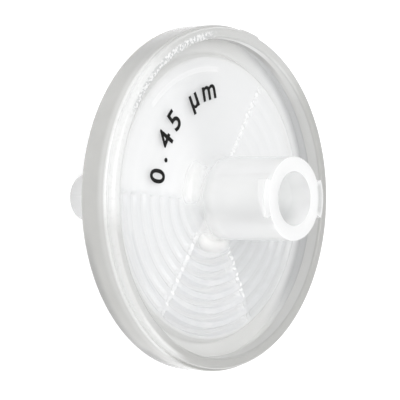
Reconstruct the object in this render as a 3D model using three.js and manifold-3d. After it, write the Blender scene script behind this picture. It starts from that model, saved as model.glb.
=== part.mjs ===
// Syringe filter, 25 mm class: a moulded inlet half with a female Luer lock hub, a moulded outlet
// half with a male Luer slip tip, the membrane clamped between them, and the ring that is moulded
// round their joined edge.
//
// Millimetres, +Z up. The flow axis is Z: the end of the outlet tip is the plane Z = 0, the filter
// stands on it, and the inlet mouth faces up.
import * as THREE from 'three';
import { mergeVertices } from 'three/addons/utils/BufferGeometryUtils.js';
import Module from 'manifold-3d';

const wasm = await Module();
wasm.setup();

// ---- Driving dimensions ------------------------------------------------------------------------

const RIM_SEGMENTS = 60;           // facets round the plates and the sealing ring
const HUB_SEGMENTS = 36;           // facets round the hub, the tip and their bores
const GRID_SEGMENTS = 42;          // facets round each ring of the flow grid
const SMALL_ROUNDING = 0.3;        // an edge rounded by no more than this has two facets, not three

// Heights along the flow axis
const OVERALL_LENGTH = 22.7;
const RING_BACK = 12.55;
const RING_LEDGE = 15.25;
const RING_FRONT = 15.9;
const OUTLET_BACK = 12.75;         // outer face of the outlet plate
const FLANGE_BACK = 13.1;          // back of the thinner edge that the ring grips
const MEMBRANE_BACK = 13.5;
const MEMBRANE_FRONT = 13.65;      // also the joint face of the two halves
const INLET_FACE = 14.7;           // outer face of the inlet plate, the floor of the front recess

// Radii of the disc
const RING_RADIUS = 14.15;
const RING_FRONT_RADIUS = 13.95;
const LIP_RADIUS = 13.08;          // inner edge of the ring's front lip
const LIP_FOOT_RADIUS = 12.98;
const PLATE_RADIUS = 13.45;        // edge of both halves, inside the ring
const BACK_LIP_RADIUS = 12.7;
const MEMBRANE_RADIUS = 12.3;
const MEMBRANE_SEAT_RADIUS = 12.35;
const CHAMBER_RADIUS = 11.6;       // gives 4.2 square centimetres of filter area

// Flow grid: rings crossed by radial channels, on the inner face of each half
const RING_COUNT = 7;
const FIRST_RING_RADIUS = 4.1;
const RING_PITCH = 1.15;
const CHANNEL_COUNT = 6;
const FIRST_CHANNEL_DEG = 56;
const CHANNEL_WIDTH = 0.7;
const CHAMBER_DEPTH = 0.3;
const TIP_CLEARANCE = 0.03;        // between the inlet half's rings and the membrane

// Luer fittings: 6 % taper on the diameter, so 3 % on the radius
const LUER_SLOPE = 0.03;
const HUB_RADIUS = 3.36;
const HUB_DRAFT = 0.08;
const HUB_FILLET = 0.45;
const SOCKET_RADIUS = 2.15;        // at the mouth
const SOCKET_DEPTH = 7.5;
const INLET_BORE_RADIUS = 1.2;
const TIP_RADIUS = 2.0;            // at the very end
const TIP_LENGTH = 9;
const TIP_BORE_RADIUS = 1.1;
const OUTLET_BORE_RADIUS = 0.9;
const BOSS_RADIUS = 3.3;

// Lock lugs of the hub: two short right-hand thread starts that thin out to their leading end
const LUG_RADIUS = 3.95;
const LUG_WIDTH_DEG = 47;
const LUG_HEIGHT = 1.0;            // at the thick end, which is flush with the mouth
const LUG_RISE = 0.6;              // of the locking flank, from the thick end to the thin end
const LUG_LEAD_IN = 0.2;           // drop of the front face over the same angle

// ---- Shape tools -------------------------------------------------------------------------------

// Points of a closed section in the plane of radius and height, listed anticlockwise. A corner is
// [radius, height], or [radius, height, rounding] for one that is replaced by an arc.
function section(corners) {
  const points = [];
  corners.forEach(([radius, height, rounding = 0], i) => {
    const corner = new THREE.Vector2(radius, height);
    if (rounding === 0) {
      points.push(corner);
      return;
    }
    const [radiusBefore, heightBefore] = corners.at(i - 1);
    const [radiusAfter, heightAfter] = corners[(i + 1) % corners.length];
    const toBefore = new THREE.Vector2(radiusBefore, heightBefore).sub(corner).normalize();
    const toAfter = new THREE.Vector2(radiusAfter, heightAfter).sub(corner).normalize();
    const halfAngle = Math.acos(toBefore.dot(toAfter)) / 2;
    const bisector = toBefore.clone().add(toAfter).normalize();
    const centre = corner.clone().addScaledVector(bisector, rounding / Math.sin(halfAngle));
    const reach = rounding / Math.tan(halfAngle);
    const start = corner.clone().addScaledVector(toBefore, reach).sub(centre);
    const end = corner.clone().addScaledVector(toAfter, reach).sub(centre);
    const sweep = Math.atan2(start.cross(end), start.dot(end));
    const arcSteps = rounding > SMALL_ROUNDING ? 3 : 2;
    for (let step = 0; step <= arcSteps; step += 1) {
      const spoke = start.clone().rotateAround(new THREE.Vector2(), sweep * step / arcSteps);
      points.push(spoke.add(centre));
    }
  });
  points.push(points[0].clone());
  return points;
}

function toSolid(geometry) {
  geometry.deleteAttribute('normal');
  geometry.deleteAttribute('uv');
  const merged = mergeVertices(geometry, 1e-5);
  return new wasm.Manifold(new wasm.Mesh({
    numProp: 3,
    vertProperties: new Float32Array(merged.attributes.position.array),
    triVerts: new Uint32Array(merged.index.array),
  }));
}

function toGeometry(solid) {
  const mesh = solid.getMesh();
  const geometry = new THREE.BufferGeometry();
  geometry.setAttribute('position', new THREE.BufferAttribute(mesh.vertProperties, 3));
  geometry.setIndex(new THREE.BufferAttribute(mesh.triVerts, 1));
  return geometry;
}

// Turns a section round the Z axis.
function revolve(corners, segments) {
  const lathe = new THREE.LatheGeometry(section(corners), segments);
  return toSolid(lathe.rotateX(Math.PI / 2));
}

function union(solids) {
  return solids.reduce((whole, solid) => whole.add(solid));
}

// ---- Flow grid ---------------------------------------------------------------------------------

// Concentric rings between two heights, cut through by the radial channels. Each ring narrows
// towards its tip, as a moulded rib does.
function flowGrid(rootHeight, tipHeight, rootWidth, tipWidth) {
  const rings = [];
  for (let i = 0; i < RING_COUNT; i += 1) {
    const radius = FIRST_RING_RADIUS + i * RING_PITCH;
    const root = [[radius - rootWidth / 2, rootHeight], [radius + rootWidth / 2, rootHeight]];
    const tip = [[radius + tipWidth / 2, tipHeight], [radius - tipWidth / 2, tipHeight]];
    const corners = rootHeight < tipHeight ? [...root, ...tip] : [...root, ...tip].reverse();
    rings.push(revolve(corners, GRID_SEGMENTS));
  }
  return union(rings).subtract(radialChannels((rootHeight + tipHeight) / 2));
}

function radialChannels(height) {
  const inner = FIRST_RING_RADIUS - RING_PITCH;
  const length = CHAMBER_RADIUS - inner;
  const channels = [];
  for (let i = 0; i < CHANNEL_COUNT; i += 1) {
    const channel = new THREE.BoxGeometry(length, CHANNEL_WIDTH, 4 * CHAMBER_DEPTH);
    channel.translate(inner + length / 2, 0, height);
    channel.rotateZ(THREE.MathUtils.degToRad(FIRST_CHANNEL_DEG + i * 360 / CHANNEL_COUNT));
    channels.push(toSolid(channel));
  }
  return union(channels);
}

// ---- Inlet half --------------------------------------------------------------------------------

// A lock lug: a box bent round the hub, then sheared so that its flanks climb as a thread does.
function lockLug(centreDeg) {
  const inner = SOCKET_RADIUS + 0.5 * (HUB_RADIUS - SOCKET_RADIUS);
  const lug = new THREE.BoxGeometry(1, 1, 1, 1, 8, 1);
  const position = lug.attributes.position;
  for (let i = 0; i < position.count; i += 1) {
    const along = position.getY(i) + 0.5;
    const radius = THREE.MathUtils.lerp(inner, LUG_RADIUS, position.getX(i) + 0.5);
    const angle = THREE.MathUtils.degToRad(centreDeg + (along - 0.5) * LUG_WIDTH_DEG);
    const flank = OVERALL_LENGTH - LUG_HEIGHT + along * LUG_RISE;
    const front = OVERALL_LENGTH - along * LUG_LEAD_IN;
    const height = THREE.MathUtils.lerp(flank, front, position.getZ(i) + 0.5);
    position.setXYZ(i, radius * Math.cos(angle), radius * Math.sin(angle), height);
  }
  return toSolid(lug);
}

function inletHousing() {
  const roof = MEMBRANE_FRONT + CHAMBER_DEPTH;
  const plate = revolve([
    [INLET_BORE_RADIUS, roof],
    [CHAMBER_RADIUS, roof],
    [CHAMBER_RADIUS + 0.1, MEMBRANE_FRONT],
    [PLATE_RADIUS, MEMBRANE_FRONT],
    [PLATE_RADIUS, INLET_FACE],
    [INLET_BORE_RADIUS, INLET_FACE],
  ], RIM_SEGMENTS);

  const socketBottom = OVERALL_LENGTH - SOCKET_DEPTH;
  const hubFoot = HUB_RADIUS + HUB_DRAFT;
  const hub = revolve([
    [INLET_BORE_RADIUS, roof + CHAMBER_DEPTH],
    [hubFoot + HUB_FILLET, roof + CHAMBER_DEPTH],
    [hubFoot + HUB_FILLET, INLET_FACE],
    [hubFoot, INLET_FACE, HUB_FILLET - 0.02],
    [HUB_RADIUS, OVERALL_LENGTH, 0.12],
    [SOCKET_RADIUS + 0.1, OVERALL_LENGTH],
    [SOCKET_RADIUS, OVERALL_LENGTH - 0.1],
    [SOCKET_RADIUS - LUER_SLOPE * SOCKET_DEPTH, socketBottom],
    [INLET_BORE_RADIUS, socketBottom - 0.25],
  ], HUB_SEGMENTS);

  const through = new THREE.CylinderGeometry(
    INLET_BORE_RADIUS, INLET_BORE_RADIUS, 4 * CHAMBER_DEPTH, HUB_SEGMENTS);
  through.rotateX(Math.PI / 2);
  through.translate(0, 0, roof);

  const grid = flowGrid(roof + 0.5 * CHAMBER_DEPTH, MEMBRANE_FRONT + TIP_CLEARANCE, 0.7, 0.3);
  return union([plate, hub, grid, lockLug(0), lockLug(180)]).subtract(toSolid(through));
}

// ---- Outlet half -------------------------------------------------------------------------------

function outletHousing() {
  const floor = MEMBRANE_BACK - CHAMBER_DEPTH;
  const plate = revolve([
    [OUTLET_BORE_RADIUS, OUTLET_BACK],
    [BACK_LIP_RADIUS, OUTLET_BACK],
    [BACK_LIP_RADIUS, FLANGE_BACK],
    [PLATE_RADIUS, FLANGE_BACK],
    [PLATE_RADIUS, MEMBRANE_FRONT],
    [MEMBRANE_SEAT_RADIUS, MEMBRANE_FRONT],
    [MEMBRANE_SEAT_RADIUS, MEMBRANE_BACK],
    [CHAMBER_RADIUS, MEMBRANE_BACK],
    [CHAMBER_RADIUS - 0.1, floor],
    [OUTLET_BORE_RADIUS, floor],
  ], RIM_SEGMENTS);
  const spigot = revolve([
    [TIP_BORE_RADIUS, 0],
    [TIP_RADIUS, 0, 0.12],
    [TIP_RADIUS + LUER_SLOPE * TIP_LENGTH, TIP_LENGTH],
    [BOSS_RADIUS, TIP_LENGTH, 0.25],
    [BOSS_RADIUS, OUTLET_BACK, 0.5],
    [BOSS_RADIUS + 0.52, OUTLET_BACK],
    [BOSS_RADIUS + 0.52, OUTLET_BACK + 0.2],
    [OUTLET_BORE_RADIUS, OUTLET_BACK + 0.2],
  ], HUB_SEGMENTS);
  const drain = new THREE.CylinderGeometry(
    OUTLET_BORE_RADIUS, OUTLET_BORE_RADIUS, 4 * CHAMBER_DEPTH, HUB_SEGMENTS);
  drain.rotateX(Math.PI / 2);
  drain.translate(0, 0, floor);
  const grid = flowGrid(floor - 0.5 * CHAMBER_DEPTH, MEMBRANE_BACK, 0.7, 0.45);
  return union([plate, spigot, grid]).subtract(toSolid(drain));
}

// ---- Sealing ring ------------------------------------------------------------------------------

// A C section that wraps the edges of both halves, with a small step where its front rim starts.
function sealingRing() {
  return revolve([
    [BACK_LIP_RADIUS, RING_BACK],
    [RING_RADIUS, RING_BACK, 0.5],
    [RING_RADIUS, RING_LEDGE, 0.15],
    [RING_FRONT_RADIUS, RING_LEDGE - 0.03],
    [RING_FRONT_RADIUS, RING_FRONT, 0.4],
    [LIP_RADIUS, RING_FRONT, 0.3],
    [LIP_FOOT_RADIUS, INLET_FACE],
    [PLATE_RADIUS, INLET_FACE],
    [PLATE_RADIUS, FLANGE_BACK],
    [BACK_LIP_RADIUS, FLANGE_BACK],
  ], RIM_SEGMENTS);
}

// ---- Membrane ----------------------------------------------------------------------------------

function filterMembrane() {
  const thickness = MEMBRANE_FRONT - MEMBRANE_BACK;
  const disc = new THREE.CylinderGeometry(
    MEMBRANE_RADIUS, MEMBRANE_RADIUS, thickness, RIM_SEGMENTS);
  disc.rotateX(Math.PI / 2);
  return disc.translate(0, 0, MEMBRANE_BACK + thickness / 2);
}

// ---- Assembly ----------------------------------------------------------------------------------

const clearPolypropylene = new THREE.MeshStandardMaterial({
  color: 0xe9edee, roughness: 0.35, metalness: 0, transparent: true, opacity: 0.75,
});
const milkyPolypropylene = new THREE.MeshStandardMaterial({
  color: 0xd3d5d3, roughness: 0.4, metalness: 0, transparent: true, opacity: 0.85,
});
const membraneWhite = new THREE.MeshStandardMaterial({
  color: 0xf7f7f5, roughness: 0.95, metalness: 0,
});

function piece(name, geometry, material) {
  const mesh = new THREE.Mesh(geometry, material);
  mesh.name = name;
  return mesh;
}

const filter = new THREE.Group();
filter.add(
  piece('inlet_housing', toGeometry(inletHousing()), clearPolypropylene),
  piece('outlet_housing', toGeometry(outletHousing()), clearPolypropylene),
  piece('filter_membrane', filterMembrane(), membraneWhite),
  piece('sealing_ring', toGeometry(sealingRing()), milkyPolypropylene),
);

export default filter;
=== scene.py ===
# %% [markdown]
# # A syringe filter, from its working parts to its finish
#
# A syringe filter is a small plastic disc that cleans a liquid on its way out of a syringe. Two
# moulded halves clamp a white membrane between them, and a third shot of plastic is moulded round
# the joint to seal it. Everything is round, so most of it is made by turning a flat section.
#
# The working model is loaded first, as a fixed frame. It says how big each part is and where it
# sits, and every visible piece is then made around it with smoother curves and real materials.

# %% Load the frame
import math

import bmesh
import bpy
from mathutils import Matrix, Vector, noise


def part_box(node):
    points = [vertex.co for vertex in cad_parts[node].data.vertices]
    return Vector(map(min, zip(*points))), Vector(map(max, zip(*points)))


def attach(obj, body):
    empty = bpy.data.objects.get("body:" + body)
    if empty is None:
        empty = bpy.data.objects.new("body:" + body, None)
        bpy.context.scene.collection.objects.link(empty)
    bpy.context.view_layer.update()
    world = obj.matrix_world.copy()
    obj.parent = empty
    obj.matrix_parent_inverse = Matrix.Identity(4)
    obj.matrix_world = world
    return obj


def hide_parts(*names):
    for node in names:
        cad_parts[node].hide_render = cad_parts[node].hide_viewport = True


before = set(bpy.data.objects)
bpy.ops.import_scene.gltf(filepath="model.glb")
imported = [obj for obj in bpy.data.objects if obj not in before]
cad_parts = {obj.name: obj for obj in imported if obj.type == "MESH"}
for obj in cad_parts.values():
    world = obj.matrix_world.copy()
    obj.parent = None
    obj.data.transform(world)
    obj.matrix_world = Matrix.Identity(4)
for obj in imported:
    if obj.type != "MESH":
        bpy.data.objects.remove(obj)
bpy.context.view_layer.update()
MM = 0.001                                   # the pieces are shaped in millimetres, then scaled
print("parts:", ", ".join(sorted(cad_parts)))

# %% [markdown]
# ## Sizes
#
# The main sizes are read from the frame, so they can't drift from the working model. The finer
# ones, such as the width of a lip, are named here once. Heights run along Z, from the end of the
# outlet tip up to the inlet mouth, and every other size is a radius or a small step.

# %% Sizes from the frame
def box_mm(node):
    low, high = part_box(node)
    return Vector(low) / MM, Vector(high) / MM


ring_low, ring_high = box_mm("sealing_ring")
inlet_low, inlet_high = box_mm("inlet_housing")
outlet_low, _ = box_mm("outlet_housing")
membrane_low, membrane_high = box_mm("filter_membrane")

RING_RADIUS, RING_BACK, RING_FRONT = ring_high.x, ring_low.z, ring_high.z
PLATE_RADIUS, JOINT, MOUTH = inlet_high.x, inlet_low.z, inlet_high.z
MEMBRANE_RADIUS, MEMBRANE_BACK = membrane_high.x, membrane_low.z
TIP_END = outlet_low.z
print(f"ring {RING_RADIUS:.2f} radius, {RING_FRONT - RING_BACK:.2f} deep; mouth at {MOUTH:.2f}")

# %% Sizes that several pieces share
GAP = 0.01                                   # half the clearance between two touching pieces
INLET_FACE = RING_FRONT - 1.2                # floor of the front recess
OUTLET_BACK = RING_BACK + 0.2
FLANGE_BACK = RING_BACK + 0.55               # back of the thinner edge that the ring grips
BACK_LIP_RADIUS = PLATE_RADIUS - 0.75
CHAMBER_RADIUS = MEMBRANE_RADIUS - 0.7
LUER_SLOPE = 0.03                            # 6 % taper on the diameter
CHANNEL_ANGLES = [math.radians(56 + 60 * i) for i in range(6)]
print(f"face at {INLET_FACE:.2f}, chamber {2 * CHAMBER_RADIUS:.1f} across")

# %% [markdown]
# ## Turning a section
#
# A turned or moulded round part is one flat section swept round an axis. In Blender the section
# can be drawn as a single flat face, its corners rounded with a vertex bevel, and its outline
# spun. A cylinder with loop cuts would do too, but then each fillet has to be made by hand. The
# spin keeps the section in one short list that reads like a drawing. Only a sixteenth of the turn
# is spun, and is then doubled four times, because that is quicker than one full spin.

# %% The lathe
TURN_STEPS = 480
DOUBLINGS = 4
SMALL_ROUNDING = 0.1                         # a corner this small has two facets


def turned(corners, steps=TURN_STEPS, arc_segments=5):
    """corners: (radius, height, rounding) in millimetres, anticlockwise round the section."""
    bm = bmesh.new()
    verts = [bm.verts.new((radius, 0.0, height)) for radius, height, _ in corners]
    bm.faces.new(verts)
    for vert, (_, _, rounding) in zip(verts, corners):
        if rounding > 0.0:
            bmesh.ops.bevel(bm, geom=[vert], offset=rounding, offset_type="OFFSET",
                            segments=arc_segments if rounding > SMALL_ROUNDING else 2,
                            profile=0.5, affect="VERTICES", material=-1)
    bmesh.ops.delete(bm, geom=bm.faces[:], context="FACES_ONLY")
    sectors = 2 ** DOUBLINGS
    bmesh.ops.spin(bm, geom=bm.verts[:] + bm.edges[:], cent=(0, 0, 0), axis=(0, 0, 1),
                   dvec=(0, 0, 0), angle=2 * math.pi / sectors, steps=steps // sectors,
                   use_merge=False, use_duplicate=False)
    for doubling in range(DOUBLINGS):
        copied = bmesh.ops.duplicate(bm, geom=bm.verts[:] + bm.edges[:] + bm.faces[:])
        copies = [item for item in copied["geom"] if isinstance(item, bmesh.types.BMVert)]
        turn = Matrix.Rotation(2 * math.pi / sectors * 2 ** doubling, 3, "Z")
        bmesh.ops.rotate(bm, cent=(0, 0, 0), matrix=turn, verts=copies)
    bmesh.ops.remove_doubles(bm, verts=bm.verts[:], dist=1e-4)
    bmesh.ops.recalc_face_normals(bm, faces=bm.faces[:])
    return bm

# %% [markdown]
# ## From a shape to an object
#
# A shape is made an object only when it is finished, so the object can stay at the origin,
# unturned and unscaled, with its place in its mesh. Smooth shading with a limit on the angle
# keeps the curves soft and the real edges crisp.

# %% Make an object
SHARP_DEGREES = 38


def into_object(name, bm):
    """Scales the shape to metres and makes it an object at the origin."""
    bmesh.ops.scale(bm, vec=(MM, MM, MM), verts=bm.verts[:])
    mesh = bpy.data.meshes.new(name)
    bm.to_mesh(mesh)
    bm.free()
    mesh.shade_smooth()
    mesh.set_sharp_from_angle(angle=math.radians(SHARP_DEGREES))
    piece = bpy.data.objects.new(name, mesh)
    bpy.context.scene.collection.objects.link(piece)
    print(f"{name}: {len(mesh.vertices)} points, {len(mesh.polygons)} faces")
    return piece

# %% [markdown]
# ## The flow grid
#
# Liquid has to spread over the whole membrane, so the inner face of each half carries low ribs,
# one ring inside the next, with radial channels across them. The ribs are part of the turned
# section. The channels are then pressed into them by moving points: a point near a channel's
# centre line goes back to the plate. Cutting boxes out with a boolean would give sharp, dirty
# edges, and a moulded rib has soft ends. Three channels of the inlet half keep a small stud where
# each rib crossed, and its ribs stand lower in some of the sixths between the channels, so both
# are given as lists.

# %% Ribs in the section
RIB_COUNT, FIRST_RIB, RIB_PITCH = 7, 4.1, 1.15
RIB_ROOT = 0.7                               # width


def rib_corners(plate_height, tip_height, tip_width, outward):
    """Corners of all ribs along one plate face, listed outwards or inwards."""
    corners = []
    for i in range(RIB_COUNT):
        radius = FIRST_RIB + i * RIB_PITCH
        corners += [
            (radius - RIB_ROOT / 2, plate_height, 0.05),
            (radius - tip_width / 2, tip_height, 0.06),
            (radius + tip_width / 2, tip_height, 0.06),
            (radius + RIB_ROOT / 2, plate_height, 0.05),
        ]
    return corners if outward else corners[::-1]

# %% Channels across the ribs
GRID_START, GRID_END = FIRST_RIB - 0.5, CHAMBER_RADIUS - 0.15
CHANNEL_HALF_WIDTH, CHANNEL_SOFTNESS = 0.35, 0.12
STUD_WIDTH, STUD_SHARE = 0.17, 0.35          # a stud's height is a share of a rib's
TOUCH = 0.001                                # a height this close counts as the same


def smooth(share):
    """A smooth step: 0 up to 0, and 1 from 1 on."""
    share = min(max(share, 0.0), 1.0)
    return share * share * (3 - 2 * share)


def press_channels(bm, plate_height, tip_height, rib_share, studded):
    """Lowers the ribs to their share in each sixth, and to the plate in the channels."""
    lowest, highest = sorted((plate_height, tip_height))
    moved = 0
    for vert in bm.verts:
        radius = math.hypot(vert.co.x, vert.co.y)
        in_grid = GRID_START < radius < GRID_END
        if not (in_grid and lowest - TOUCH <= vert.co.z <= highest + TOUCH):
            continue
        around = math.atan2(vert.co.y, vert.co.x)
        aside, channel = min(
            (abs(radius * math.sin(around - angle)), i)
            for i, angle in enumerate(CHANNEL_ANGLES) if math.cos(around - angle) > 0.0)
        sixth = int((around - CHANNEL_ANGLES[0]) % (2 * math.pi) / (math.pi / 3)) % 6
        kept = smooth((aside - CHANNEL_HALF_WIDTH + CHANNEL_SOFTNESS) / (2 * CHANNEL_SOFTNESS))
        kept = kept * rib_share[sixth]
        stud = STUD_SHARE * math.exp(-(aside / STUD_WIDTH) ** 2) if channel in studded else 0.0
        vert.co.z = plate_height + (vert.co.z - plate_height) * max(kept, stud)
        moved += 1
    print("points of the grid:", moved)

# %% [markdown]
# ## Inlet half
#
# The front of the filter: a disc with the hub that a syringe locks onto. The hub's socket tapers
# by 6 % so that a syringe tip wedges in it, and two lugs at its mouth catch the thread of a Luer
# lock collar. Disc, hub and socket are one section, turned. Each lug is a cube that is bent
# round the hub and sheared like a thread, and a boolean fuses it on, because the lug's ends run
# across the hub's facets. The wall over the grid is drawn at the depth where the eye sees it:
# real plastic bends light, so its far side looks nearer than it is, and the material made further
# down lets light straight through.

# %% Disc, hub and socket
LOOK_DEPTH = 0.35                            # how thick 0.75 mm of this plastic looks
ROOF = INLET_FACE - LOOK_DEPTH               # over the grid
INLET_RIB_TIP = JOINT + 0.03
INLET_RIBS = [0.0, 0.0, 0.35, 1.0, 0.4, 0.04]    # share of the full height, in each sixth
STUDDED = [0, 3, 4]                          # channels
HUB_RADIUS, HUB_DRAFT, HUB_FILLET = 3.36, 0.08, 0.45
HUB_STRAIGHT = 1.3                           # at the mouth, where the lugs need a straight wall
SOCKET_RADIUS, SOCKET_DEPTH, INLET_BORE = 2.15, 7.5, 1.2
PLATEAU_RADIUS, PLATEAU_STEP = 10.3, 0.05    # the face stands a little proud inside this radius


def inlet_section():
    socket_bottom = MOUTH - SOCKET_DEPTH
    hub_foot = HUB_RADIUS + HUB_DRAFT
    underside = rib_corners(ROOF, INLET_RIB_TIP, 0.3, outward=True)
    return [
        (INLET_BORE, ROOF, 0.1),
        *underside,
        (CHAMBER_RADIUS, ROOF, 0.1),
        (CHAMBER_RADIUS + 0.35, JOINT + GAP, 0.15),
        (PLATE_RADIUS - GAP, JOINT + GAP, 0.0),
        (PLATE_RADIUS - GAP, INLET_FACE - GAP - PLATEAU_STEP, 0.0),
        (PLATEAU_RADIUS + 0.8, INLET_FACE - GAP - PLATEAU_STEP, 0.3),
        (PLATEAU_RADIUS, INLET_FACE - GAP, 0.3),
        (hub_foot, INLET_FACE - GAP, HUB_FILLET),
        (HUB_RADIUS + 0.01, MOUTH - HUB_STRAIGHT, 0.0),
        (HUB_RADIUS, MOUTH, 0.12),
        (SOCKET_RADIUS, MOUTH, 0.1),
        (SOCKET_RADIUS - LUER_SLOPE * SOCKET_DEPTH, socket_bottom, 0.06),
        (INLET_BORE, socket_bottom - 0.25, 0.08),
    ]


inlet_body = turned(inlet_section())
press_channels(inlet_body, ROOF, INLET_RIB_TIP, INLET_RIBS, STUDDED)

# %% Lock lugs
LUG_RADIUS, LUG_WIDTH, LUG_HEIGHT = 3.95, math.radians(47), 1.0
LUG_RISE, LUG_LEAD_IN = 0.6, 0.05            # of the locking flank, and of the front
LUG_SLICES = 24
LUG_SOFTENING = 0.12


def lock_lug(centre):
    """A bevelled bar, sliced, then bent round the hub and sheared like a thread."""
    root = (SOCKET_RADIUS + HUB_RADIUS) / 2
    bm = bmesh.new()
    bmesh.ops.create_cube(bm, size=1.0)
    bmesh.ops.scale(bm, vec=(LUG_RADIUS - root, LUG_RADIUS * LUG_WIDTH, LUG_HEIGHT), verts=bm.verts[:])
    outer = [edge for edge in bm.edges if all(vert.co.x > 0.0 for vert in edge.verts)]
    bmesh.ops.bevel(bm, geom=outer, offset=LUG_SOFTENING, offset_type="OFFSET", segments=3,
                    profile=0.5, affect="EDGES", material=-1)
    for i in range(1, LUG_SLICES):
        bmesh.ops.bisect_plane(bm, geom=bm.verts[:] + bm.edges[:] + bm.faces[:], dist=1e-5,
                               plane_co=(0, (i / LUG_SLICES - 0.5) * LUG_RADIUS * LUG_WIDTH, 0),
                               plane_no=(0, 1, 0))
    for vert in bm.verts:
        share = vert.co.y / (LUG_RADIUS * LUG_WIDTH) + 0.5
        radius = vert.co.x + (LUG_RADIUS + root) / 2
        angle = centre + (share - 0.5) * LUG_WIDTH
        flank = MOUTH - LUG_HEIGHT + share * LUG_RISE
        front = MOUTH - GAP - share * LUG_LEAD_IN
        height = flank + (front - flank) * (vert.co.z / LUG_HEIGHT + 0.5)
        vert.co = (radius * math.cos(angle), radius * math.sin(angle), height)
    bmesh.ops.recalc_face_normals(bm, faces=bm.faces[:])
    return bm

# %% Fuse the lugs on
def fused(name, parts):
    """Boolean union of several closed shapes, as one new bmesh."""
    objects = []
    for i, bm in enumerate(parts):
        mesh = bpy.data.meshes.new(f"{name}_{i}")
        bm.to_mesh(mesh)
        bm.free()
        part = bpy.data.objects.new(mesh.name, mesh)
        bpy.context.scene.collection.objects.link(part)
        objects.append(part)
    body, *added = objects
    for part in added:
        union = body.modifiers.new("union", "BOOLEAN")
        union.operation, union.solver, union.object = "UNION", "MANIFOLD", part
    graph = bpy.context.evaluated_depsgraph_get()
    result = bmesh.new()
    result.from_mesh(body.evaluated_get(graph).to_mesh())
    for part in objects:
        bpy.data.objects.remove(part)
    return result


inlet_shape = fused("inlet", [inlet_body, lock_lug(0.0), lock_lug(math.pi)])
inlet = into_object("inlet_half", inlet_shape)

# %% [markdown]
# ## Outlet half
#
# The back of the filter holds the membrane up against the pressure, so its ribs have broad tops
# that the membrane lies on. A boss stiffens the root of the male Luer tip, which tapers like the
# socket and carries the outlet bore. It is the same job as the inlet half: one section, turned.

# %% Plate, boss and tip
FLOOR = MEMBRANE_BACK - 0.3                  # of the chamber under the membrane
OUTLET_RIBS = [1.0] * 6
TIP_RADIUS, TIP_LENGTH, TIP_BORE, OUTLET_BORE = 2.0, 9.0, 1.1, 0.9
BOSS_RADIUS = 3.3


def outlet_section():
    topside = rib_corners(FLOOR, MEMBRANE_BACK, 0.45, outward=False)
    tip_root = TIP_RADIUS + LUER_SLOPE * TIP_LENGTH
    seat = MEMBRANE_RADIUS + 0.05
    return [
        (TIP_BORE, TIP_END, 0.05),
        (TIP_RADIUS, TIP_END, 0.15),
        (tip_root, TIP_END + TIP_LENGTH, 0.08),
        (BOSS_RADIUS, TIP_END + TIP_LENGTH, 0.25),
        (BOSS_RADIUS, OUTLET_BACK, 0.5),
        (BACK_LIP_RADIUS - GAP, OUTLET_BACK, 0.05),
        (BACK_LIP_RADIUS - GAP, FLANGE_BACK + GAP, 0.0),
        (PLATE_RADIUS - GAP, FLANGE_BACK + GAP, 0.0),
        (PLATE_RADIUS - GAP, JOINT - GAP, 0.0),
        (seat, JOINT - GAP, 0.03),
        (seat, MEMBRANE_BACK, 0.0),
        (CHAMBER_RADIUS, MEMBRANE_BACK, 0.04),
        (CHAMBER_RADIUS - 0.1, FLOOR, 0.05),
        *topside,
        (OUTLET_BORE, FLOOR, 0.1),
    ]


outlet_shape = turned(outlet_section())
press_channels(outlet_shape, FLOOR, MEMBRANE_BACK, OUTLET_RIBS, studded=[])
outlet = into_object("outlet_half", outlet_shape)

# %% [markdown]
# ## Membrane
#
# A disc of white filter sheet, 0.15 mm thick, clamped round its edge. It hides the back half from
# the front, and it is what makes the clear face look milky. A capped circle, given its thickness
# with an extrusion, is all that it needs.

# %% Membrane
MEMBRANE_SEGMENTS = 192


def membrane_disc():
    bm = bmesh.new()
    bmesh.ops.create_circle(bm, cap_ends=True, radius=MEMBRANE_RADIUS, segments=MEMBRANE_SEGMENTS)
    bmesh.ops.translate(bm, vec=(0, 0, MEMBRANE_BACK + GAP), verts=bm.verts[:])
    grown = bmesh.ops.extrude_face_region(bm, geom=bm.faces[:])
    top = [item for item in grown["geom"] if isinstance(item, bmesh.types.BMVert)]
    thickness = JOINT - MEMBRANE_BACK - 2 * GAP
    bmesh.ops.translate(bm, vec=(0, 0, thickness), verts=top)
    bmesh.ops.recalc_face_normals(bm, faces=bm.faces[:])
    return bm


membrane = into_object("membrane_disc", membrane_disc())

# %% [markdown]
# ## Sealing ring
#
# The ring is moulded round the two halves in the press, so its section is a C whose lips grip
# both edges. Its side has a small step where the two mould plates met, its front lip is rounded
# over, and the foot of the lip ends in a fine groove on the inlet half. The wall of the lip gets
# extra corners, and the C is turned in twice as many steps as the other parts, because the next
# step needs the points.

# %% The C section
RING_LEDGE = RING_FRONT - 0.65
RING_FRONT_RADIUS = RING_RADIUS - 0.2
LIP_RADIUS = PLATE_RADIUS - 0.37
LIP_FOOT_RADIUS = PLATE_RADIUS - 0.47
LIP_WALL_STEPS = 9
FOOT_GROOVE = 0.04


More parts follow.
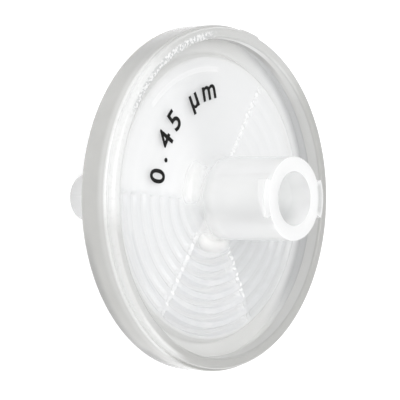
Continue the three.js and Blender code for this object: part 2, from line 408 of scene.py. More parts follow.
def ring_section():
    wall_top, wall_foot = RING_FRONT - 0.3, INLET_FACE + FOOT_GROOVE
    wall = []
    for i in range(1, LIP_WALL_STEPS + 1):
        share = i / LIP_WALL_STEPS
        radius = LIP_RADIUS + (LIP_FOOT_RADIUS - LIP_RADIUS) * share
        wall.append((radius, wall_top + (wall_foot - wall_top) * share, 0.0))
    return [
        (BACK_LIP_RADIUS + GAP, RING_BACK, 0.08),
        (RING_RADIUS, RING_BACK, 0.4),
        (RING_RADIUS, RING_LEDGE, 0.16),
        (RING_FRONT_RADIUS, RING_LEDGE - 0.03, 0.02),
        (RING_FRONT_RADIUS, RING_FRONT, 0.34),
        (LIP_RADIUS, RING_FRONT, 0.2),
        *wall,
        (LIP_FOOT_RADIUS + FOOT_GROOVE, INLET_FACE + GAP, 0.0),
        (PLATE_RADIUS + GAP, INLET_FACE + GAP, 0.0),
        (PLATE_RADIUS + GAP, FLANGE_BACK - GAP, 0.0),
        (BACK_LIP_RADIUS + GAP, FLANGE_BACK - GAP, 0.04),
    ]


ring_shape = turned(ring_section(), steps=2 * TURN_STEPS, arc_segments=8)

# %% [markdown]
# ## Rough bead and gate mark
#
# On one side the hot plastic foamed a little where it first flowed over the edge of the inlet
# half, and set as a rough, bubbly bead along the lip, with two fainter stretches elsewhere. A
# little further round, the gate broke off and left a low scar on the rim. Both are made by moving
# points of the turned ring: noise lifts the bead, and a smooth hump makes the scar. Drawing every
# bubble would add nothing, because no two rings are alike.

# %% Push the points of the lip
BEAD_ARCS = [(125, 30, 1.0), (222, 14, 0.4), (32, 12, 0.4)]      # middle, reach, share
BEAD_LIFT, BUBBLE_SIZE, SWELL_SIZE = 0.13, 0.28, 1.5
BUBBLE_REACH = 0.7                           # where a bubble ends, as a share of its size
UPWARD_SHARE = 0.6                           # of the lift, so that the bead stays low
CORE_DEPTH = 0.5                             # the bead swells away from this far below the lip's top
GATE_ANGLE, GATE_REACH, GATE_HEIGHT = 78, 6, 0.14


def arc_share(around, middle, reach):
    """1 in the middle of an arc, and 0 past its ends, in degrees."""
    away = abs((around - middle + 180) % 360 - 180)
    return smooth((reach - away) / (0.35 * reach))


def roughen_lip(bm):
    """Lifts the bubbles of the bead, and swells the rim where the gate was."""
    core = Vector(((LIP_RADIUS + RING_FRONT_RADIUS) / 2, RING_FRONT - CORE_DEPTH))
    moved = 0
    for vert in bm.verts:
        radius = math.hypot(vert.co.x, vert.co.y)
        around = math.degrees(math.atan2(vert.co.y, vert.co.x)) % 360
        outwards = Vector((vert.co.x, vert.co.y, 0.0)) / radius
        rough = sum(share * arc_share(around, middle, reach) for middle, reach, share in BEAD_ARCS)
        if rough > 0.0 and radius < RING_FRONT_RADIUS - 0.2 and vert.co.z > INLET_FACE + 0.15:
            away = (Vector((radius, vert.co.z)) - core).normalized()
            nearest = noise.voronoi(vert.co / BUBBLE_SIZE)[0][0]
            bubble = math.sqrt(max(0.0, 1.0 - (nearest / BUBBLE_REACH) ** 2))
            swell = 0.5 + 0.5 * noise.noise(vert.co / SWELL_SIZE)
            push = BEAD_LIFT * rough * bubble * swell
            vert.co += outwards * away.x * push
            vert.co.z += UPWARD_SHARE * away.y * push
            moved += 1
        gate = arc_share(around, GATE_ANGLE, GATE_REACH)
        if gate > 0.0 and radius > RING_FRONT_RADIUS - 0.5 and vert.co.z > RING_LEDGE:
            vert.co += outwards * GATE_HEIGHT * gate
            moved += 1
    print("points moved:", moved)


roughen_lip(ring_shape)
ring = into_object("overmoulded_ring", ring_shape)

# %% [markdown]
# ## Printed rating
#
# Filters are pad-printed with their pore size. The letters are text, turned into thin solid
# meshes and set one by one along an arc, a little off centre, as a hand-loaded print is. Text on
# a curve modifier would bend each letter, and real letters stay straight and only turn. The font
# is thin, and its own offset would close the hole of the 4, so the strokes are thickened by
# pushing each point of the mesh outwards.

# %% One letter
PRINT_HEIGHT, PRINT_BOLDNESS = 1.8, 0.04
INK_THICKNESS = 0.02
FIGURE_SHARE = 0.73                          # a figure's height, as a share of the font's size


def letter(character):
    """One character as a mesh in millimetres, its foot on the X axis and its middle at X = 0."""
    text = bpy.data.curves.new("letter", "FONT")
    text.body, text.size = character, PRINT_HEIGHT / FIGURE_SHARE
    text.extrude, text.resolution_u = INK_THICKNESS / 2, 6
    holder = bpy.data.objects.new("letter", text)
    bm = bmesh.new()
    bm.from_mesh(holder.to_mesh())
    holder.to_mesh_clear()
    bpy.data.objects.remove(holder)
    bmesh.ops.remove_doubles(bm, verts=bm.verts[:], dist=1e-5)
    pushes = []
    for vert in bm.verts:
        sides = [face.normal for face in vert.link_faces if abs(face.normal.z) < 0.5]
        outwards = sum(sides, Vector()).normalized()
        pushes.append(outwards * PRINT_BOLDNESS / max(0.5, outwards.dot(sides[0])))
    for vert, push in zip(bm.verts, pushes):
        vert.co += push
    left, right = min(vert.co.x for vert in bm.verts), max(vert.co.x for vert in bm.verts)
    bmesh.ops.translate(bm, vec=(-(left + right) / 2, 0, 0), verts=bm.verts[:])
    return bm, right - left

# %% Letters on an arc
PRINT_TEXT = "0.45 µm"
PRINT_CENTRE = Vector((1.03, 0.61, 0.0))
PRINT_RADIUS = 7.7                           # of the letters' feet
PRINT_START = math.radians(176.5)
LETTER_GAP, WORD_GAP = 0.77, 1.25
PRINT_LIFT = 0.004                           # of the ink over the face


def printed_arc():
    whole = bmesh.new()
    middle_radius = PRINT_RADIUS + PRINT_HEIGHT / 2
    run = 0.0
    for character in PRINT_TEXT:
        if character == " ":
            run += WORD_GAP
            continue
        bm, width = letter(character)
        angle = PRINT_START - (run + width / 2) / middle_radius
        run += width + LETTER_GAP
        foot = PRINT_CENTRE + PRINT_RADIUS * Vector((math.cos(angle), math.sin(angle), 0.0))
        foot.z = INLET_FACE - GAP + PRINT_LIFT + INK_THICKNESS / 2
        place = Matrix.Translation(foot) @ Matrix.Rotation(angle - math.pi / 2, 4, "Z")
        bmesh.ops.transform(bm, matrix=place, verts=bm.verts[:])
        mesh = bpy.data.meshes.new("placed_letter")
        bm.to_mesh(mesh)
        bm.free()
        whole.from_mesh(mesh)
        bpy.data.meshes.remove(mesh)
    bmesh.ops.remove_doubles(whole, verts=whole.verts[:], dist=1e-5)
    print(f"print takes {math.degrees(run / middle_radius):.0f} degrees of its arc")
    return whole


rating = into_object("printed_rating", printed_arc())

# %% [markdown]
# ## Patterns in the plastic
#
# Every finish here follows the shape: marks lie on circles and spokes round the axis. So each
# material first works out a point's radius in millimetres from its Object coordinates, and the
# patterns are sums on that radius. A painted image would need an unwrapped mesh and would blur
# up close, and maths nodes don't. Each helper below stands for a few nodes, so that a finish
# reads as a list of masks and the colours they mix in.

# %% Maths nodes
def feed(tree, value, socket):
    """Links another socket to this one, or sets a number or a colour on it."""
    if isinstance(value, bpy.types.NodeSocket):
        tree.links.new(value, socket)
    elif isinstance(value, tuple):
        socket.default_value = (*value, 1.0)
    else:
        socket.default_value = value


def calc(tree, operation, *values):
    node = tree.nodes.new("ShaderNodeMath")
    node.operation = operation
    for socket, value in zip(node.inputs, values):
        feed(tree, value, socket)
    return node.outputs[0]


def product(tree, *values):
    result = values[0]
    for value in values[1:]:
        result = calc(tree, "MULTIPLY", result, value)
    return result


def strongest(tree, *values):
    result = values[0]
    for value in values[1:]:
        result = calc(tree, "MAXIMUM", result, value)
    return result


def away_from(tree, value, middle):
    """How far a value is from a middle one, to either side."""
    return calc(tree, "ABSOLUTE", calc(tree, "SUBTRACT", value, middle))

# %% Steps and mixtures
def fade(tree, value, start, end, low=0.0, high=1.0):
    """A smooth step: low at start, high at end."""
    node = tree.nodes.new("ShaderNodeMapRange")
    node.interpolation_type = "SMOOTHSTEP"
    feed(tree, value, node.inputs["Value"])
    for name, number in (("From Min", start), ("From Max", end), ("To Min", low), ("To Max", high)):
        node.inputs[name].default_value = number
    return node.outputs["Result"]


def blend(tree, share, first, second):
    """Mixes two colours, each of them a socket or a triple."""
    node = tree.nodes.new("ShaderNodeMix")
    node.data_type = "RGBA"
    feed(tree, share, node.inputs["Factor"])
    feed(tree, first, node.inputs[6])
    feed(tree, second, node.inputs[7])
    return node.outputs[2]

# %% Where a point lies
def millimetres(tree):
    """The point in millimetres, with its radius and height as sockets."""
    place = tree.nodes.new("ShaderNodeTexCoord")
    scaled = tree.nodes.new("ShaderNodeVectorMath")
    scaled.operation = "SCALE"
    scaled.inputs["Scale"].default_value = 1.0 / MM
    tree.links.new(place.outputs["Object"], scaled.inputs[0])
    parts = tree.nodes.new("ShaderNodeSeparateXYZ")
    tree.links.new(scaled.outputs[0], parts.inputs[0])
    across, up, height = parts.outputs
    squares = calc(tree, "ADD", product(tree, across, across), product(tree, up, up))
    return scaled.outputs[0], calc(tree, "SQRT", squares), height


def along(tree, point, degrees):
    """Distance from the axis along a spoke at this angle."""
    angle = math.radians(degrees)
    node = tree.nodes.new("ShaderNodeVectorMath")
    node.operation = "DOT_PRODUCT"
    tree.links.new(point, node.inputs[0])
    node.inputs[1].default_value = (math.cos(angle), math.sin(angle), 0.0)
    return node.outputs["Value"]


def facing(tree, point, radius, middle, reach, full=0.7):
    """1 up to a share of the reach from an angle, and 0 past the reach, in degrees."""
    cosine = calc(tree, "DIVIDE", along(tree, point, middle), radius)
    return fade(tree, cosine, math.cos(math.radians(reach)), math.cos(math.radians(full * reach)))

# %% Noise
def cloud(tree, point, size, detail=2.0):
    """Noise with blobs of about this size in millimetres."""
    node = tree.nodes.new("ShaderNodeTexNoise")
    node.inputs["Scale"].default_value = 1.0 / size
    node.inputs["Detail"].default_value = detail
    tree.links.new(point, node.inputs["Vector"])
    return node.outputs["Fac"]


def streaks(tree, radius, height, size):
    """Noise that changes with radius and height only, so that it runs round the axis."""
    node = tree.nodes.new("ShaderNodeCombineXYZ")
    feed(tree, radius, node.inputs[0])
    feed(tree, height, node.inputs[1])
    return cloud(tree, node.outputs[0], size)


def shaken(tree, point, size, amount):
    """The point, pushed a little by noise, so that a pattern on it isn't drawn with a ruler."""
    node = tree.nodes.new("ShaderNodeTexNoise")
    node.inputs["Scale"].default_value = 1.0 / size
    node.inputs["Detail"].default_value = 1.0
    tree.links.new(point, node.inputs["Vector"])
    push = tree.nodes.new("ShaderNodeVectorMath")
    push.operation = "MULTIPLY_ADD"
    tree.links.new(node.outputs["Color"], push.inputs[0])
    push.inputs[1].default_value = (amount, amount, 0.0)
    push.inputs[2].default_value = (-amount / 2, -amount / 2, 0.0)
    moved = tree.nodes.new("ShaderNodeVectorMath")
    moved.operation = "ADD"
    tree.links.new(point, moved.inputs[0])
    tree.links.new(push.outputs[0], moved.inputs[1])
    return moved.outputs[0]

# %% Marks on spokes and circles
def bead_row(tree, point, degrees, pitch, size, start, end, between=0.5):
    """White dots in a line along a spoke, with a weaker streak between them."""
    spoke = along(tree, point, degrees)
    aside = along(tree, point, degrees + 90)
    step = calc(tree, "PINGPONG", calc(tree, "SUBTRACT", spoke, start), pitch / 2)
    squares = calc(tree, "ADD", product(tree, aside, aside), product(tree, step, step))
    dot = fade(tree, calc(tree, "SQRT", squares), size, 0.5 * size)
    line = fade(tree, calc(tree, "ABSOLUTE", aside), 0.5 * size, 0.0, 0.0, between)
    reach = product(tree, fade(tree, spoke, start - 0.3, start), fade(tree, spoke, end + 0.3, end))
    return product(tree, strongest(tree, dot, line), reach)


def arc(tree, point, radius, middle, reach, at, half_width):
    """A soft line along part of a circle."""
    line = fade(tree, away_from(tree, radius, at), half_width, 0.3 * half_width)
    return product(tree, line, facing(tree, point, radius, middle, reach))


def between_ribs(tree, radius):
    """Distance in millimetres from the nearest rib's middle."""
    return calc(tree, "PINGPONG", calc(tree, "SUBTRACT", radius, FIRST_RIB), RIB_PITCH / 2)

# %% What all plastics here share
PLASTIC_IOR = 1.49


def surface(name):
    material = bpy.data.materials.new(name)
    material.use_nodes = True
    return material, material.node_tree, material.node_tree.nodes["Principled BSDF"]


def dimple(tree, shader, height, strength, depth_mm):
    bump = tree.nodes.new("ShaderNodeBump")
    bump.inputs["Strength"].default_value = strength
    bump.inputs["Distance"].default_value = depth_mm * MM
    tree.links.new(height, bump.inputs["Height"])
    tree.links.new(bump.outputs["Normal"], shader.inputs["Normal"])


def light_shadow(tree, share):
    """1, less this share for shadow rays, because such plastic casts only a light shadow."""
    path = tree.nodes.new("ShaderNodeLightPath")
    return calc(tree, "MULTIPLY_ADD", path.outputs["Is Shadow Ray"], -share, 1.0)

# %% [markdown]
# ## Housing plastic
#
# Natural polypropylene is neither clear nor white. Thin walls let the membrane show through and
# thick ones turn milky, so the hub and the tip are whiter than the disc. Real transmission at
# this thickness is mostly noise, so a share of transparency stands in for it: small on the
# polished outside, larger on the matt inside. The sixths of the grid carry painted light and
# shade: one is painted bright as a highlight and the one under the hub dark as its shadow, with a
# soft step between some of them and a clear one between others. Painted shade lies in the grooves
# between the ribs, and painted highlights make white studs and an arc. Past the chamber the
# plastic is clamped and looks creamy. On one side it is lighter, and painted shade darkens its
# edge towards the grey ring. The socket is painted darker towards one side, the hub's foot has
# painted highlights, and a painted shadow lies where one lug meets the mouth.

# %% Levels for the sixths of the face
# Painted light and shade: the second sixth is painted bright as a highlight, and the fifth dark as the
# hub's shadow.
SIXTH_PAINTED_LIGHT = [0.72, 1.0, 0.6, 0.75, 0.05, 0.72]     # anticlockwise, from the first channel
# How strong the painted shade in the grooves is, in each sixth; it also sets how matt the inside is.
SIXTH_CONTRAST = [0.05, 0.1, 0.5, 0.9, 0.5, 0.15]        # of the ribs
SIXTH_SOFTNESS = [0.0, 9.0, 0.7, 0.7, 0.7, 5.0]          # degrees, to each side of a channel


def by_sixth(tree, point, levels):
    """One level for each sixth of the disc, with a soft step at some of the channels."""
    parts = tree.nodes.new("ShaderNodeSeparateXYZ")
    tree.links.new(point, parts.inputs[0])
    around = calc(tree, "ARCTAN2", parts.outputs[1], parts.outputs[0])
    turns = calc(tree, "DIVIDE", calc(tree, "SUBTRACT", around, CHANNEL_ANGLES[0]), 2 * math.pi)
    ramp = tree.nodes.new("ShaderNodeValToRGB")
    ramp.color_ramp.interpolation = "LINEAR"
    stops = ramp.color_ramp.elements
    while len(stops) < 2 * len(levels):
        stops.new(0.5)
    for i, level in enumerate(levels):
        starts = i / 6 + SIXTH_SOFTNESS[i] / 360
        ends = (i + 1) / 6 - SIXTH_SOFTNESS[(i + 1) % 6] / 360
        for stop, position in ((stops[2 * i], starts), (stops[2 * i + 1], ends)):
            stop.position = position
            stop.color = (level, level, level, 1.0)
    tree.links.new(calc(tree, "FRACT", turns), ramp.inputs[0])
    return ramp.outputs[0]

# %% The inner face, as the front shows it
def inner_face(tree, point, radius, contrast, clamped):
    """Colour of the sixths with painted light and shade, of the grooves between the ribs with painted
    shade, and of the clamped edge.
    """
    broken = fade(tree, cloud(tree, point, 1.3), 0.35, 0.6, 0.35, 1.0)
    # Painted shade in the grooves between the ribs, broken up by noise, as strong as each sixth's
    # contrast.
    painted_groove_shade = product(tree, fade(tree, between_ribs(tree, radius), 0.12, 0.34), broken, contrast)
    # Painted light and shade of the sixths.
    roof = blend(tree, by_sixth(tree, point, SIXTH_PAINTED_LIGHT), (0.70, 0.71, 0.715), (1.0, 1.0, 1.0))
    roof = blend(tree, painted_groove_shade, roof, (0.81, 0.82, 0.84))
    # The clamped edge is lighter on one side, and painted shade darkens it there towards the lip and the
    # grey ring.
    lip_shade_side = facing(tree, point, radius, 10, 70, 0.5)
    edge = blend(tree, lip_shade_side, (0.885, 0.885, 0.87), (0.975, 0.98, 0.98))
    painted_lip_shade = product(tree, lip_shade_side, fade(tree, radius, MEMBRANE_RADIUS + 0.3, PLATE_RADIUS))
    edge = blend(tree, painted_lip_shade, edge, (0.58, 0.585, 0.59))
    return blend(tree, clamped, roof, edge)


def painted_highlights(tree, point, radius):
    """Painted highlights: white rows on the studs in three channels, and a white arc over the print."""
    loose = shaken(tree, point, 0.7, 0.35)
    return strongest(
        tree,
        bead_row(tree, loose, 57, 0.56, 0.34, FIRST_RIB + 0.2, 11.1, 1.0),
        bead_row(tree, loose, 236, 1.1, 0.36, FIRST_RIB - 0.5, 10.3),
        bead_row(tree, loose, 297, 0.5, 0.22, FIRST_RIB + 0.5, 9.2),
        product(tree, arc(tree, point, radius, 112, 32, 10.6, 0.5), 0.8),
    )

# %% The hub
# The socket is painted darker towards this side, as painted shade.
LOW_SIDE = 277                               # degrees; the hub is cloudier towards this side


def hub_masks(tree, point, radius, height):
    """Inside of the socket, painted highlights on the hub's foot, and a painted shadow in an arc at one
    lug.
    """
    over_joint = fade(tree, height, JOINT, INLET_FACE)
    socket = product(tree, fade(tree, radius, SOCKET_RADIUS + 0.06, SOCKET_RADIUS),
                     fade(tree, height, MOUTH - 0.2, MOUTH - 2.5), over_joint)
    # Painted highlights on the hub's foot: a broad one on the side of the key lamp, and a streak under the
    # hub.
    highlit_sides = strongest(tree, product(tree, facing(tree, point, radius, 158, 42, 0.1), 0.6),
                      facing(tree, point, radius, 266, 38, 0.4))
    foot = product(tree, fade(tree, radius, HUB_RADIUS + 1.8, HUB_RADIUS + 0.2), highlit_sides,
                   fade(tree, height, INLET_FACE + 2.0, INLET_FACE + 0.2), over_joint)
    # Painted shadow in an arc where one lug meets the mouth.
    painted_lug_shadow = product(tree, arc(tree, point, radius, 0, 22, HUB_RADIUS + 0.06, 0.42),
                   fade(tree, height, MOUTH - 0.3, MOUTH - 0.1), 0.8)
    return socket, foot, painted_lug_shadow

# %% Housing polypropylene
def housing_finish():
    material, tree, shader = surface("housing_polypropylene")
    point, radius, height = millimetres(tree)
    haze = cloud(tree, point, 2.5)
    contrast = by_sixth(tree, point, SIXTH_CONTRAST)
    low_side = along(tree, point, LOW_SIDE)
    inside = fade(tree, height, INLET_FACE - 0.12, INLET_FACE - 0.2)
    bulk = strongest(tree, fade(tree, height, INLET_FACE + 0.1, INLET_FACE + 2.5),
                     fade(tree, height, OUTLET_BACK, OUTLET_BACK - 1.5))
    clamped = fade(tree, radius, CHAMBER_RADIUS - 0.5, CHAMBER_RADIUS + 0.2)
    painted_highlight_mask = product(tree, inside, fade(tree, height, JOINT - 0.1, JOINT), painted_highlights(tree, point, radius))
    # A thin darker arc on the inner face.
    dark_arc = product(tree, arc(tree, point, radius, 211, 18, 10.4, 0.15), 0.8)
    socket, foot, painted_lug_shadow = hub_masks(tree, point, radius, height)

    outer = blend(tree, haze, (0.955, 0.965, 0.975), (0.975, 0.98, 0.985))
    roof = inner_face(tree, point, radius, contrast, clamped)
    # Painted highlights on the studs and the arc, opaque where they lie.
    roof = blend(tree, painted_highlight_mask, roof, (1.0, 1.0, 1.0))
    roof = blend(tree, dark_arc, roof, (0.7, 0.71, 0.73))
    colour = blend(tree, inside, outer, roof)
    colour = blend(tree, bulk, colour, (0.995, 0.998, 1.0))
    # Painted shade in the socket, darker towards the low side.
    painted_socket_shade = blend(tree, fade(tree, low_side, 0.0, 1.8), (0.93, 0.94, 0.935), (0.62, 0.63, 0.63))
    colour = blend(tree, socket, colour, painted_socket_shade)
    # Painted highlight on the hub's foot, and the painted shadow at the lug.
    colour = blend(tree, foot, colour, (1.0, 1.0, 0.985))
    colour = blend(tree, painted_lug_shadow, colour, (0.64, 0.65, 0.65))
    tree.links.new(colour, shader.inputs["Base Color"])

    matt = strongest(tree, fade(tree, contrast, 0.0, 1.0, 0.66, 0.82), clamped)
    polished = 0.22
    solid = calc(tree, "MULTIPLY_ADD", inside, calc(tree, "SUBTRACT", matt, polished), polished)
    solid = strongest(
        tree,
        solid,
        product(tree, bulk, fade(tree, low_side, 0.5, 3.0, 0.55, 0.85)),
        product(tree, socket, 0.7),
        foot,
        fade(tree, height, MOUTH - 0.15, MOUTH - 0.02, 0.0, 0.9),
        painted_highlight_mask,
    )
    tree.links.new(product(tree, solid, light_shadow(tree, 0.75)), shader.inputs["Alpha"])
    tree.links.new(fade(tree, haze, 0.3, 0.7, 0.16, 0.24), shader.inputs["Roughness"])
    shader.inputs["IOR"].default_value = PLASTIC_IOR
    shader.inputs["Coat Weight"].default_value = 1.0
    shader.inputs["Coat Roughness"].default_value = 0.12
    print("housing nodes:", len(tree.nodes))
    return material


housing_plastic = housing_finish()

# %% [markdown]
# ## Ring plastic
#
# The ring is the same kind of plastic, moulded thicker, and it came out greyer and cloudier, so
# it has a little subsurface scattering and no clear parts. On the side where it foamed, the lip is
# frosted white, and a painted highlight spreads that white over the flanks of the lip's crest and
# around that side. The frost and highlight are a mask by angle and height, and noise breaks it up.
# Painted shade darkens the side by the gate, the low part of the back edge most of all, the front
# and back edges, the crease over the step and the inner rim of the lip. The inner wall of the lip
# is painted lighter, most of all at the top, against its own shade.

# %% Frost and painted highlight
def frost_and_highlight_mask(tree, point, radius, height):
    """The foamed side, and painted highlight on both flanks of the lip's crest and in a weaker spread
    around them.
    """
    from_crest = away_from(tree, radius, LIP_RADIUS + 0.37)
    flank = product(tree, fade(tree, from_crest, 0.12, 0.32), facing(tree, point, radius, 182, 70, 0.8))
    side = strongest(
        tree,
        facing(tree, point, radius, 158, 42, 0.5),
        product(tree, flank, 0.65),
        product(tree, facing(tree, point, radius, 140, 108, 0.75), 0.42),
    )
    spread = strongest(tree, fade(tree, height, RING_LEDGE - 0.45, RING_LEDGE - 0.05),
                       fade(tree, height, RING_LEDGE - 1.0, RING_LEDGE - 0.5, 0.0, 0.3))
    return product(tree, spread, side)

# %% Painted shade: thin lines and darker parts
def painted_line_shade(tree, point, radius, height, haze):
    """Painted shade in the crease over the step on the outside, and along the inner rim of the lip."""
    outside = fade(tree, radius, RING_FRONT_RADIUS - 0.25, RING_FRONT_RADIUS - 0.1)
    crease = product(tree, fade(tree, away_from(tree, height, RING_LEDGE + 0.13), 0.1, 0.02), outside,
                     fade(tree, haze, 0.35, 0.55, 0.0, 0.2))
    rim = product(tree, fade(tree, radius, LIP_RADIUS + 0.2, LIP_RADIUS + 0.1),
                  fade(tree, height, RING_FRONT - 0.3, RING_FRONT - 0.22),
                  facing(tree, point, radius, 180, 65), 0.6)
    return strongest(tree, crease, rim)


def painted_shade_masks(tree, point, radius, height):
    """Painted shade by the gate and at the low back edge, and its darkest part."""
    by_gate = product(tree, facing(tree, point, radius, 95, 48, 0.4),
                      fade(tree, height, RING_LEDGE, RING_LEDGE - 0.15), 0.8)
    low_edge = product(tree, facing(tree, point, radius, 235, 50, 0.5),
                       fade(tree, height, RING_BACK + 1.2, RING_BACK + 0.4), 0.85)
    darkest_shade = product(tree, facing(tree, point, radius, 259, 24, 0.5),
                       fade(tree, height, RING_BACK + 1.7, RING_BACK + 0.9), 0.85)
    return strongest(tree, by_gate, low_edge), darkest_shade

# %% Ring polypropylene
def ring_finish():
    material, tree, shader = surface("ring_polypropylene")
    point, radius, height = millimetres(tree)
    haze = cloud(tree, point, 1.8)
    grain = cloud(tree, point, 0.3, 3.0)
    bubbles = cloud(tree, point, 0.2, 1.0)
    # Painted shade: the plastic is painted darker along the front and back edges.
    edges = strongest(tree, fade(tree, height, RING_FRONT - 0.25, RING_FRONT - 0.03, 0.0, 0.25),
                      fade(tree, height, RING_BACK + 0.4, RING_BACK + 0.1, 0.0, 0.5))
    inner_wall = product(tree, fade(tree, radius, LIP_RADIUS + 0.15, LIP_RADIUS + 0.02),
                         fade(tree, height, RING_FRONT - 0.2, RING_FRONT - 0.35))
    frosted_and_highlit = product(tree, frost_and_highlight_mask(tree, point, radius, height), fade(tree, grain, 0.2, 0.5, 0.8, 1.0))
    bead_middle, bead_reach, _ = BEAD_ARCS[0]
    bead = product(tree, facing(tree, point, radius, bead_middle, bead_reach),
                   fade(tree, radius, RING_FRONT_RADIUS - 0.2, RING_FRONT_RADIUS - 0.4))
    clear, darkest_shade = painted_shade_masks(tree, point, radius, height)

    body = blend(tree, haze, (0.51, 0.51, 0.495), (0.57, 0.57, 0.555))
    body = blend(tree, edges, body, (0.47, 0.47, 0.46))
    # Painted light: the inner wall of the lip is painted lighter, most of all at the top, against its
    # shade.
    painted_lit_wall = facing(tree, point, radius, 95, 35, 0.6)
    body = blend(tree, inner_wall, body, blend(tree, painted_lit_wall, (0.65, 0.65, 0.64), (0.95, 0.95, 0.94)))
    frost_and_highlight = blend(tree, streaks(tree, radius, height, 0.3), (0.82, 0.825, 0.82), (0.92, 0.925, 0.92))
    frost_and_highlight = blend(tree, inner_wall, frost_and_highlight, (0.97, 0.97, 0.96))
    foam = blend(tree, fade(tree, bubbles, 0.42, 0.62), (0.64, 0.65, 0.65), (0.95, 0.95, 0.95))
    # Frost and painted highlight: white on the foamed side, over the flanks of the lip's crest and around
    # them.
    colour = blend(tree, frosted_and_highlit, body, frost_and_highlight)
    # Painted shade in the crease and along the inner rim.
    colour = blend(tree, painted_line_shade(tree, point, radius, height, haze), colour, (0.50, 0.51, 0.51))
    colour = blend(tree, bead, colour, foam)
    # Painted shade: darker by the gate and along the low back edge, darkest at its middle.
    colour = blend(tree, clear, colour, (0.35, 0.35, 0.345))
    colour = blend(tree, darkest_shade, colour, (0.12, 0.12, 0.118))
    tree.links.new(colour, shader.inputs["Base Color"])

    tree.links.new(light_shadow(tree, 0.55), shader.inputs["Alpha"])
    tree.links.new(fade(tree, haze, 0.3, 0.7, 0.18, 0.26), shader.inputs["Roughness"])
    shader.inputs["IOR"].default_value = PLASTIC_IOR
    shader.inputs["Subsurface Weight"].default_value = 0.5
    shader.inputs["Subsurface Radius"].default_value = (1.0, 1.0, 1.0)
    shader.inputs["Subsurface Scale"].default_value = 0.08 * MM
    shader.inputs["Coat Weight"].default_value = 0.4
    shader.inputs["Coat Roughness"].default_value = 0.08
    relief = strongest(tree, product(tree, grain, 0.3), product(tree, bead, bubbles))
    dimple(tree, shader, relief, 0.25, 0.05)
    print("ring nodes:", len(tree.nodes))
    return material


ring_plastic = ring_finish()

# %% [markdown]
# ## Membrane and ink
#
# The membrane is matt white felt. Where the ribs press it, it is glazed and looks a little
# darker, and its clamped edge is creamier. The ink is pad-printed, so it is thin, nearly matt and
# not quite even.

# %% Membrane
def membrane_finish():
    material, tree, shader = surface("membrane_white")
    point, radius, _ = millimetres(tree)
    fibres = cloud(tree, point, 0.12, 4.0)
    pressed = fade(tree, between_ribs(tree, radius), 0.3, 0.15, 0.0, 0.2)
    clamped = fade(tree, radius, CHAMBER_RADIUS - 0.1, CHAMBER_RADIUS + 0.1)
    felt = blend(tree, fibres, (0.94, 0.95, 0.96), (0.98, 0.983, 0.985))
    colour = blend(tree, pressed, felt, (0.88, 0.89, 0.90))
    colour = blend(tree, clamped, colour, (0.94, 0.94, 0.925))
    tree.links.new(colour, shader.inputs["Base Color"])
    shader.inputs["Roughness"].default_value = 0.9
    dimple(tree, shader, fibres, 0.3, 0.02)
    return material

# %% Ink
def ink_finish():
    material, tree, shader = surface("black_ink")
    point, _, _ = millimetres(tree)
    uneven = cloud(tree, point, 0.25, 3.0)
    colour = blend(tree, uneven, (0.004, 0.004, 0.004), (0.022, 0.022, 0.021))
    tree.links.new(colour, shader.inputs["Base Color"])
    shader.inputs["Roughness"].default_value = 0.6
    shader.inputs["Specular IOR Level"].default_value = 0.12
    return material


membrane_white, black_ink = membrane_finish(), ink_finish()
print("finishes:", ", ".join(material.name for material in bpy.data.materials))

# %% [markdown]
# ## Onto the frame
#
# Each piece now gets its finish and its place in the working model: the body that it rides on and
# the plain part whose look it takes over. The slot that its material belongs to is listed with it
# and printed. The print has no plain part of its own, so it replaces none. The filter has no moving
# parts, and everything rides on its one rigid body.

# %% Put the pieces on the frame
PLACES = [
    (inlet, "inlet_housing", housing_plastic, "clear_housing"),
    (outlet, "outlet_housing", housing_plastic, "clear_housing"),
    (membrane, "filter_membrane", membrane_white, "membrane"),
    (ring, "sealing_ring", ring_plastic, "ring_plastic"),
    (rating, None, black_ink, "print_ink"),
]
for piece, node, material, slot in PLACES:
    piece.data.materials.clear()
    piece.data.materials.append(material)
    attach(piece, "root")
    if node:
        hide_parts(node)
    print(piece.name, "takes over", node or "nothing", "in slot", slot)

# %% [markdown]
# ## Camera
#
# The filter stands on its tip, and the camera looks down on the face at a slant. It is turned on
# its side, with the disc's Y axis pointing up, so that the disc seems to stand on its edge and
# the hub to point sideways. A long lens keeps the perspective mild, as it does in a shop's shots
# of small parts.

# %% Camera
DISC_CENTRE = Vector((0.0, 0.0, (RING_FRONT - 1.5) * MM))
CAMERA_TILT = math.radians(39.5)
CAMERA_ROLL = math.radians(-0.4)
CAMERA_DISTANCE = 156.5 * MM
CAMERA_SHIFT = Vector((-1.13, -0.155)) * MM
SENSOR_WIDTH, LENS = 36.0, 171.5
NEAREST, FARTHEST = 0.01, 10.0

forward = Vector((math.cos(CAMERA_TILT), 0.0, -math.sin(CAMERA_TILT)))
upward = Matrix.Rotation(CAMERA_ROLL, 3, forward) @ Vector((0.0, 1.0, 0.0))
rightward = forward.cross(upward)
camera_data = bpy.data.cameras.new("camera")
camera_data.sensor_width, camera_data.lens = SENSOR_WIDTH, LENS
camera_data.clip_start, camera_data.clip_end = NEAREST, FARTHEST
camera = bpy.data.objects.new("camera", camera_data)
camera.location = (DISC_CENTRE - forward * CAMERA_DISTANCE
                   + rightward * CAMERA_SHIFT.x + upward * CAMERA_SHIFT.y)
camera.rotation_mode = "QUATERNION"
camera.rotation_quaternion = Matrix((rightward, upward, -forward)).transposed().to_quaternion()
bpy.context.scene.collection.objects.link(camera)
bpy.context.scene.camera = camera
print("camera, mm:", [round(value / MM, 1) for value in camera.location])

# %% [markdown]
# ## Floor and surroundings
#
# White plastic on white is told apart by its own greys, so the light has to stay plain. The floor
# is a pale matt sheet that takes the filter's shadow. For the rays of the camera, and for those
# mirrored or let through by the plastic, it also glows a little, so it is seen as white and
# throws no more light on the filter. The world around is an even white, at the strength at which
# a colour looks as it is written.

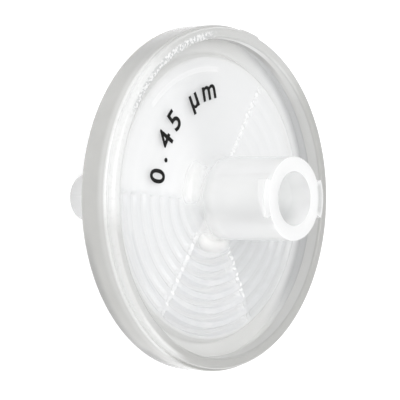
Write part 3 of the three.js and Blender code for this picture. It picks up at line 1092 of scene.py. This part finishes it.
# %% Floor
FLOOR_HALF_WIDTH, FLOOR_GLOW = 1.5, 0.42


def seen_directly(tree):
    """1 for camera, gloss and transmission rays, and 0 for the rays that carry light."""
    path = tree.nodes.new("ShaderNodeLightPath")
    return strongest(tree, path.outputs["Is Camera Ray"], path.outputs["Is Glossy Ray"],
                     path.outputs["Is Transmission Ray"])


def floor_finish():
    material, tree, shader = surface("floor_paint")
    shader.inputs["Base Color"].default_value = (0.85, 0.85, 0.85, 1.0)
    shader.inputs["Roughness"].default_value = 1.0
    shader.inputs["Emission Color"].default_value = (1.0, 1.0, 1.0, 1.0)
    glow = product(tree, seen_directly(tree), FLOOR_GLOW)
    tree.links.new(glow, shader.inputs["Emission Strength"])
    return material


floor_shape = bmesh.new()
bmesh.ops.create_grid(floor_shape, x_segments=1, y_segments=1, size=FLOOR_HALF_WIDTH)
floor_mesh = bpy.data.meshes.new("floor")
floor_shape.to_mesh(floor_mesh)
floor_shape.free()
floor_mesh.materials.append(floor_finish())
floor = bpy.data.objects.new("floor", floor_mesh)
bpy.context.scene.collection.objects.link(floor)
print("floor, m:", 2 * FLOOR_HALF_WIDTH)

# %% World
WORLD_STRENGTH = 0.64

world = bpy.data.worlds.new("studio")
world.use_nodes = True
background = world.node_tree.nodes["Background"]
background.inputs["Color"].default_value = (1.0, 1.0, 1.0, 1.0)
background.inputs["Strength"].default_value = WORLD_STRENGTH
bpy.context.scene.world = world
bpy.context.scene.view_settings.view_transform = "Standard"
print("world strength:", WORLD_STRENGTH)

# %% [markdown]
# ## Lamps
#
# Three round soft boxes model the shape, and each is weaker than the world. The key hangs over
# the upper left of the view. The one to the side grazes the lip and draws the highlight along it.
# The one from below lights the underside of the hub, which would be dull without it.

# %% Lamps
LAMP_DISTANCE, LAMP_SIZE = 0.3, 0.2


def towards(azimuth, elevation):
    """A place at the lamps' distance from the disc, in degrees round it and up from it."""
    azimuth, elevation = math.radians(azimuth), math.radians(elevation)
    level = Vector((math.cos(azimuth), math.sin(azimuth), 0.0)) * math.cos(elevation)
    return (level + Vector((0.0, 0.0, math.sin(elevation)))) * LAMP_DISTANCE


def soft_box(name, place, watts):
    """A round soft box at a place measured from the disc, turned to face it."""
    lamp = bpy.data.lights.new(name, "AREA")
    lamp.shape, lamp.size, lamp.energy = "DISK", LAMP_SIZE, watts
    holder = bpy.data.objects.new(name, lamp)
    holder.location = DISC_CENTRE + place
    holder.rotation_mode = "QUATERNION"
    holder.rotation_quaternion = (-place).to_track_quat("-Z", "Y")
    holder.visible_camera = False
    bpy.context.scene.collection.objects.link(holder)
    print(f"{name} lamp: {watts} W")


soft_box("key", towards(148, 60), 0.25)
soft_box("side", towards(170, 28), 0.18)
soft_box("below", towards(277, 28), 0.2)
